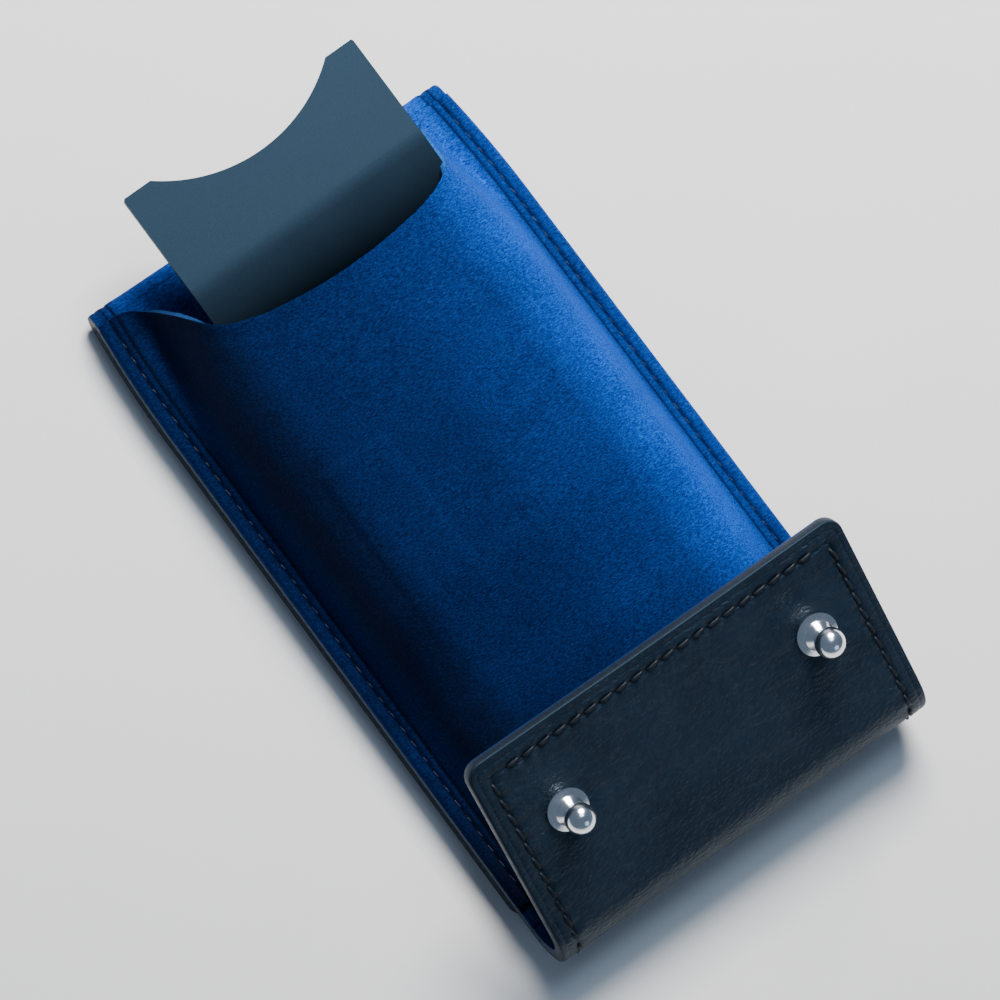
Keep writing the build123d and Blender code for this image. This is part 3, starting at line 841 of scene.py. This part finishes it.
def makeStitch():
    # One raised thread stitch whose ends dive into their holes, lying along X.
    bpy.ops.mesh.primitive_cylinder_add(
        vertices=threadShape["sides"], radius=threadShape["thick"], depth=threadShape["length"],
        rotation=(0, math.pi / 2, 0),
    )
    stitch = bpy.context.object
    bpy.ops.object.transform_apply(location=True, rotation=True, scale=True)
    bpy.ops.object.mode_set(mode="EDIT")
    half = threadShape["length"] / 2
    for ring in range(1, threadShape["rings"]):
        cut = -half + ring * 2 * half / threadShape["rings"]
        bpy.ops.mesh.select_all(action="SELECT")
        bpy.ops.mesh.bisect(plane_co=(cut, 0, 0), plane_no=(1, 0, 0))
    bpy.ops.object.mode_set(mode="OBJECT")
    points = getPoints(stitch)
    t = points[:, 0] / half
    angle = np.arctan2(points[:, 2], points[:, 1])
    ply = 1 + 0.16 * np.cos(2 * angle - 5.0 * t)
    slim = (1 - 0.35 * np.abs(t) ** 4) * ply
    points[:, 1] *= slim
    points[:, 2] = points[:, 2] * slim * 0.9 - threadShape["dive"] * np.abs(t) ** 3
    setPoints(stitch, points)
    selectOnly(stitch)
    bpy.ops.object.shade_smooth()
    return stitch


stitchMaster = makeStitch()


def sewRow(name, places, thread):
    # Copies the stitch to each (place, along, up) and joins them into one piece.
    copies = []
    for number, (spot, along, up) in enumerate(places):
        copy = stitchMaster.copy()
        copy.data = stitchMaster.data.copy()
        bpy.context.scene.collection.objects.link(copy)
        side = up.cross(along)
        lean = threadShape["lean"] + 0.05 * math.sin(number * 2.4)
        forward = along * math.cos(lean) + side * math.sin(lean)
        across = up.cross(forward)
        turn = Matrix((forward, across, up)).transposed().to_4x4()
        copy.data.transform(Matrix.Translation(spot) @ turn)
        copies.append(copy)
    bpy.ops.object.select_all(action="DESELECT")
    for copy in copies:
        copy.select_set(True)
    bpy.context.view_layer.objects.active = copies[0]
    bpy.ops.object.join()
    piece = bpy.context.object
    piece.name = name
    piece.data.materials.clear()
    piece.data.materials.append(thread)
    return piece


def onStrip(x, s, leatherSide, direction):
    # Place, direction and outward normal of a stitch on the strip.
    y, z, heading = (float(value[0]) for value in stripPath(np.array([s])))
    side = 1 if leatherSide else -1
    line = np.array([stripShape["stitchLine"]])
    height = side * float(stripHeight(np.array([x]), np.array([s]), line, leatherSide)[0])
    height += float(flapBulge(x, s))
    height += side * (threadShape["proud"] if leatherSide else -threadShape["sunk"])
    draw = 1 - float(drawIn(np.array([s]))[0]) / halfWidth
    spot = Vector((x * draw, y - math.sin(heading) * height, z + math.cos(heading) * height))
    forward = Vector((0, math.cos(heading), math.sin(heading)))
    up = Vector((0, -math.sin(heading), math.cos(heading))) * side
    return spot, (forward if direction == "along" else Vector((1, 0, 0))), up


def sideStitches(low, high, leatherSide):
    # Stitches down both sides, each centred between two needle holes.
    line = halfWidth - stripShape["stitchLine"]
    pitch = stripShape["pitch"]
    first = math.ceil(low / pitch - 0.5)
    places = []
    while (first + 0.5) * pitch < high:
        for x in (-line, line):
            places.append(onStrip(x, (first + 0.5) * pitch, leatherSide, "along"))
        first += 1
    return places


def endStitches(s, leatherSide):
    # Stitches across a free end.
    line = halfWidth - stripShape["stitchLine"] - 1.2 * mm
    pitch = stripShape["pitch"]
    count = int(line / pitch)
    spots = [(number + 0.5) * pitch for number in range(-count, count)]
    if s < foldStart:
        # none over the slots
        clear = slotShape["width"] / 2 + pitch / 2
        spots = [x for x in spots if abs(abs(x) - stripShape["studX"]) > clear]
    return [onStrip(x, s, leatherSide, "across") for x in spots]


flapEnd = stripLength - stripShape["stitchLine"]
flapFirst = flapStart + 1 * mm
turnFirst = turnStart + 0.3 * (flapStart - turnStart)
flapBoth = []
turnBoth = []
coverBoth = []
for leatherSide in (True, False):
    turnBoth += sideStitches(turnFirst, flapFirst, leatherSide)
    flapBoth += sideStitches(flapFirst, flapEnd - 2.4 * mm, leatherSide)
    flapBoth += endStitches(flapEnd, leatherSide)
    coverBoth += sideStitches(6 * mm, panelEnd - 1 * mm, leatherSide)
    coverBoth += endStitches(stripShape["stitchLine"], leatherSide)
flapStitches = sewRow("flapStitches", flapBoth, blackThread)
turnStitches = sewRow("turnStitches", turnBoth, blackThread)
coverStitches = sewRow("coverStitches", coverBoth, blackThread)


def pocketPlaces():
    # Stitches in the pocket's side channels.
    places = []
    pitch = stripShape["pitch"]
    along = pocketShape["low"] + 1.5 * pitch
    while along < 129 * mm:
        for side in (-1, 1):
            x = side * (halfWidth - pocketShape["sewnLine"])
            draw = 1 - float(drawIn(np.array([alongToStrip(along)]))[0]) / halfWidth
            height = float(pocketTop(np.array([x]), np.array([along]))[0]) - threadShape["pocketSunk"]
            spot = Vector((x * draw, bottomY + along, height))
            places.append((spot, Vector((0, 1, 0)), Vector((0, 0, 1))))
        along += pitch
    return places


pocketStitches = sewRow("pocketStitches", pocketPlaces(), blueThread)
bpy.data.objects.remove(stitchMaster)
print("stitching made")

# finishes of the CAD nodes that stay
polished = makeChrome()
plateFinish = makePlateFinish()
handleFinish = makeTurnedMetal("darkHandle", (0.018, 0.020, 0.026), (0.040, 0.044, 0.055), 0.0009)
collarFinish = makeTurnedMetal("turnedSteel", (0.42, 0.43, 0.45), (0.62, 0.63, 0.65), 0.0004)
tipFinish = makeTurnedMetal("groundSteel", (0.30, 0.31, 0.33), (0.50, 0.50, 0.52), 0.0002)
finishes = {
    "insert_plate": plateFinish,
    "ball_stud_left": polished,
    "ball_stud_right": polished,
    "stud_screw_left": collarFinish,
    "stud_screw_right": collarFinish,
    "tool_handle": handleFinish,
    "fork_collar": collarFinish,
    "pin_collar": collarFinish,
    "fork_tip": tipFinish,
    "pin_tip": tipFinish,
}
for name, finish in finishes.items():
    mesh = nodes[name].data
    mesh.materials.clear()
    mesh.materials.append(finish)

# what moves with what
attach(coverPanel, "cover")
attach(coverStitches, "cover")
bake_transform(coverSpine)
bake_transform(foldLower)
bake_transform(foldUpper)
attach(backPanel, "pouch_body")
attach(pocketSuede, "pouch_body")
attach(pocketStitches, "pouch_body")
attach(toolLoopSuede, "pouch_body")
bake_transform(turnAndFlap)
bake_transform(turnStitches)
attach(flapStitches, "stud_flap")

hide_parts("cover_leather", "cover_lining")
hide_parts("cover_stitching")
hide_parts("spine_leather", "spine_lining")
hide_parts("fold_lining")
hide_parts("fold_leather")
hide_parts("back_leather", "back_lining")
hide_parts("turn_leather", "turn_lining", "flap_leather", "flap_lining")
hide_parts("flap_stitching")
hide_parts("pocket_front")
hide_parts("pocket_stitching")
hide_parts("tool_loop")
print("pieces placed on their bodies")

# floor, light and camera
studio = {
    "floor": (0.78, 0.765, 0.75),
    "sky": (0.50, 0.66, 0.92),
    "skyStrength": 0.22,
    "windowPower": 11.0,
    "windowSpot": (0.27, 0.29, 0.52),
    "windowSize": 0.34,
    "windowColour": (1.0, 0.98, 0.96),
    "ceilingPower": 2.4,
    "ceilingSpot": (0.20, 0.10, 0.95),
    "ceilingSize": 0.42,
    "ceilingColour": (0.62, 0.80, 1.0),
    "frontPower": 0.5,
    "frontSpot": (0.16, -0.85, 0.42),
    "frontSize": 0.45,
    "frontColour": (0.50, 0.72, 1.0),
}
bpy.ops.mesh.primitive_plane_add(size=3.0, location=(0, 0, -0.02 * mm))
floor = bpy.context.object
floor.name = "floor"
floorFinish, tree, shader = startMaterial("paleFloor")
patches = noise(tree, place(tree), 0.09, detail=4)
duller = tuple(0.96 * part for part in studio["floor"])
tree.links.new(ramp(tree, patches, (0.3, duller), (0.7, studio["floor"])), shader.inputs["Base Color"])
shader.inputs["Roughness"].default_value = 0.75
floor.data.materials.append(floorFinish)

world = bpy.data.worlds.new("studioWorld")
bpy.context.scene.world = world
world.use_nodes = True
world.node_tree.nodes["Background"].inputs["Color"].default_value = (*studio["sky"], 1)
world.node_tree.nodes["Background"].inputs["Strength"].default_value = studio["skyStrength"]


def hangLight(name, kind, target):
    light = bpy.data.lights.new(name, "AREA")
    light.energy = studio[kind + "Power"]
    light.shape = "DISK"
    light.size = studio[kind + "Size"]
    light.color = studio[kind + "Colour"]
    lamp = bpy.data.objects.new(name, light)
    bpy.context.scene.collection.objects.link(lamp)
    spot = Vector(studio[kind + "Spot"])
    lamp.location = spot
    lamp.rotation_euler = (Vector(target) - spot).to_track_quat("-Z", "Y").to_euler()


hangLight("windowLight", "window", (0.01, 0, 0))
hangLight("ceilingSky", "ceiling", (0, 0.05, 0))
hangLight("frontSky", "front", (0, -0.05, 0.03))

view = {
    "target": (2.698 * mm, bottomY + 71.29 * mm, 0),
    "azimuth": math.radians(-49.362),
    "elevation": math.radians(74.099),
    "roll": math.radians(13.696),
    "distance": 1078.888 * mm,
    "lens": 230.58,
}
outward = math.cos(view["elevation"])
back = Vector((
    math.sin(view["azimuth"]) * outward, -math.cos(view["azimuth"]) * outward, math.sin(view["elevation"]),
))
level = (-back).cross(Vector((0, 0, 1))).normalized()
above = level.cross(-back)
right = math.cos(view["roll"]) * level + math.sin(view["roll"]) * above
up = -math.sin(view["roll"]) * level + math.cos(view["roll"]) * above
cameraData = bpy.data.cameras.new("camera")
cameraData.lens = view["lens"]
cameraData.sensor_width = 36
cameraData.clip_start = 0.02
camera = bpy.data.objects.new("camera", cameraData)
bpy.context.scene.collection.objects.link(camera)
turn = Matrix((right, up, back)).transposed().to_4x4()
camera.matrix_world = Matrix.Translation(Vector(view["target"]) + back * view["distance"]) @ turn
bpy.context.scene.camera = camera
print("floor, light and camera set")
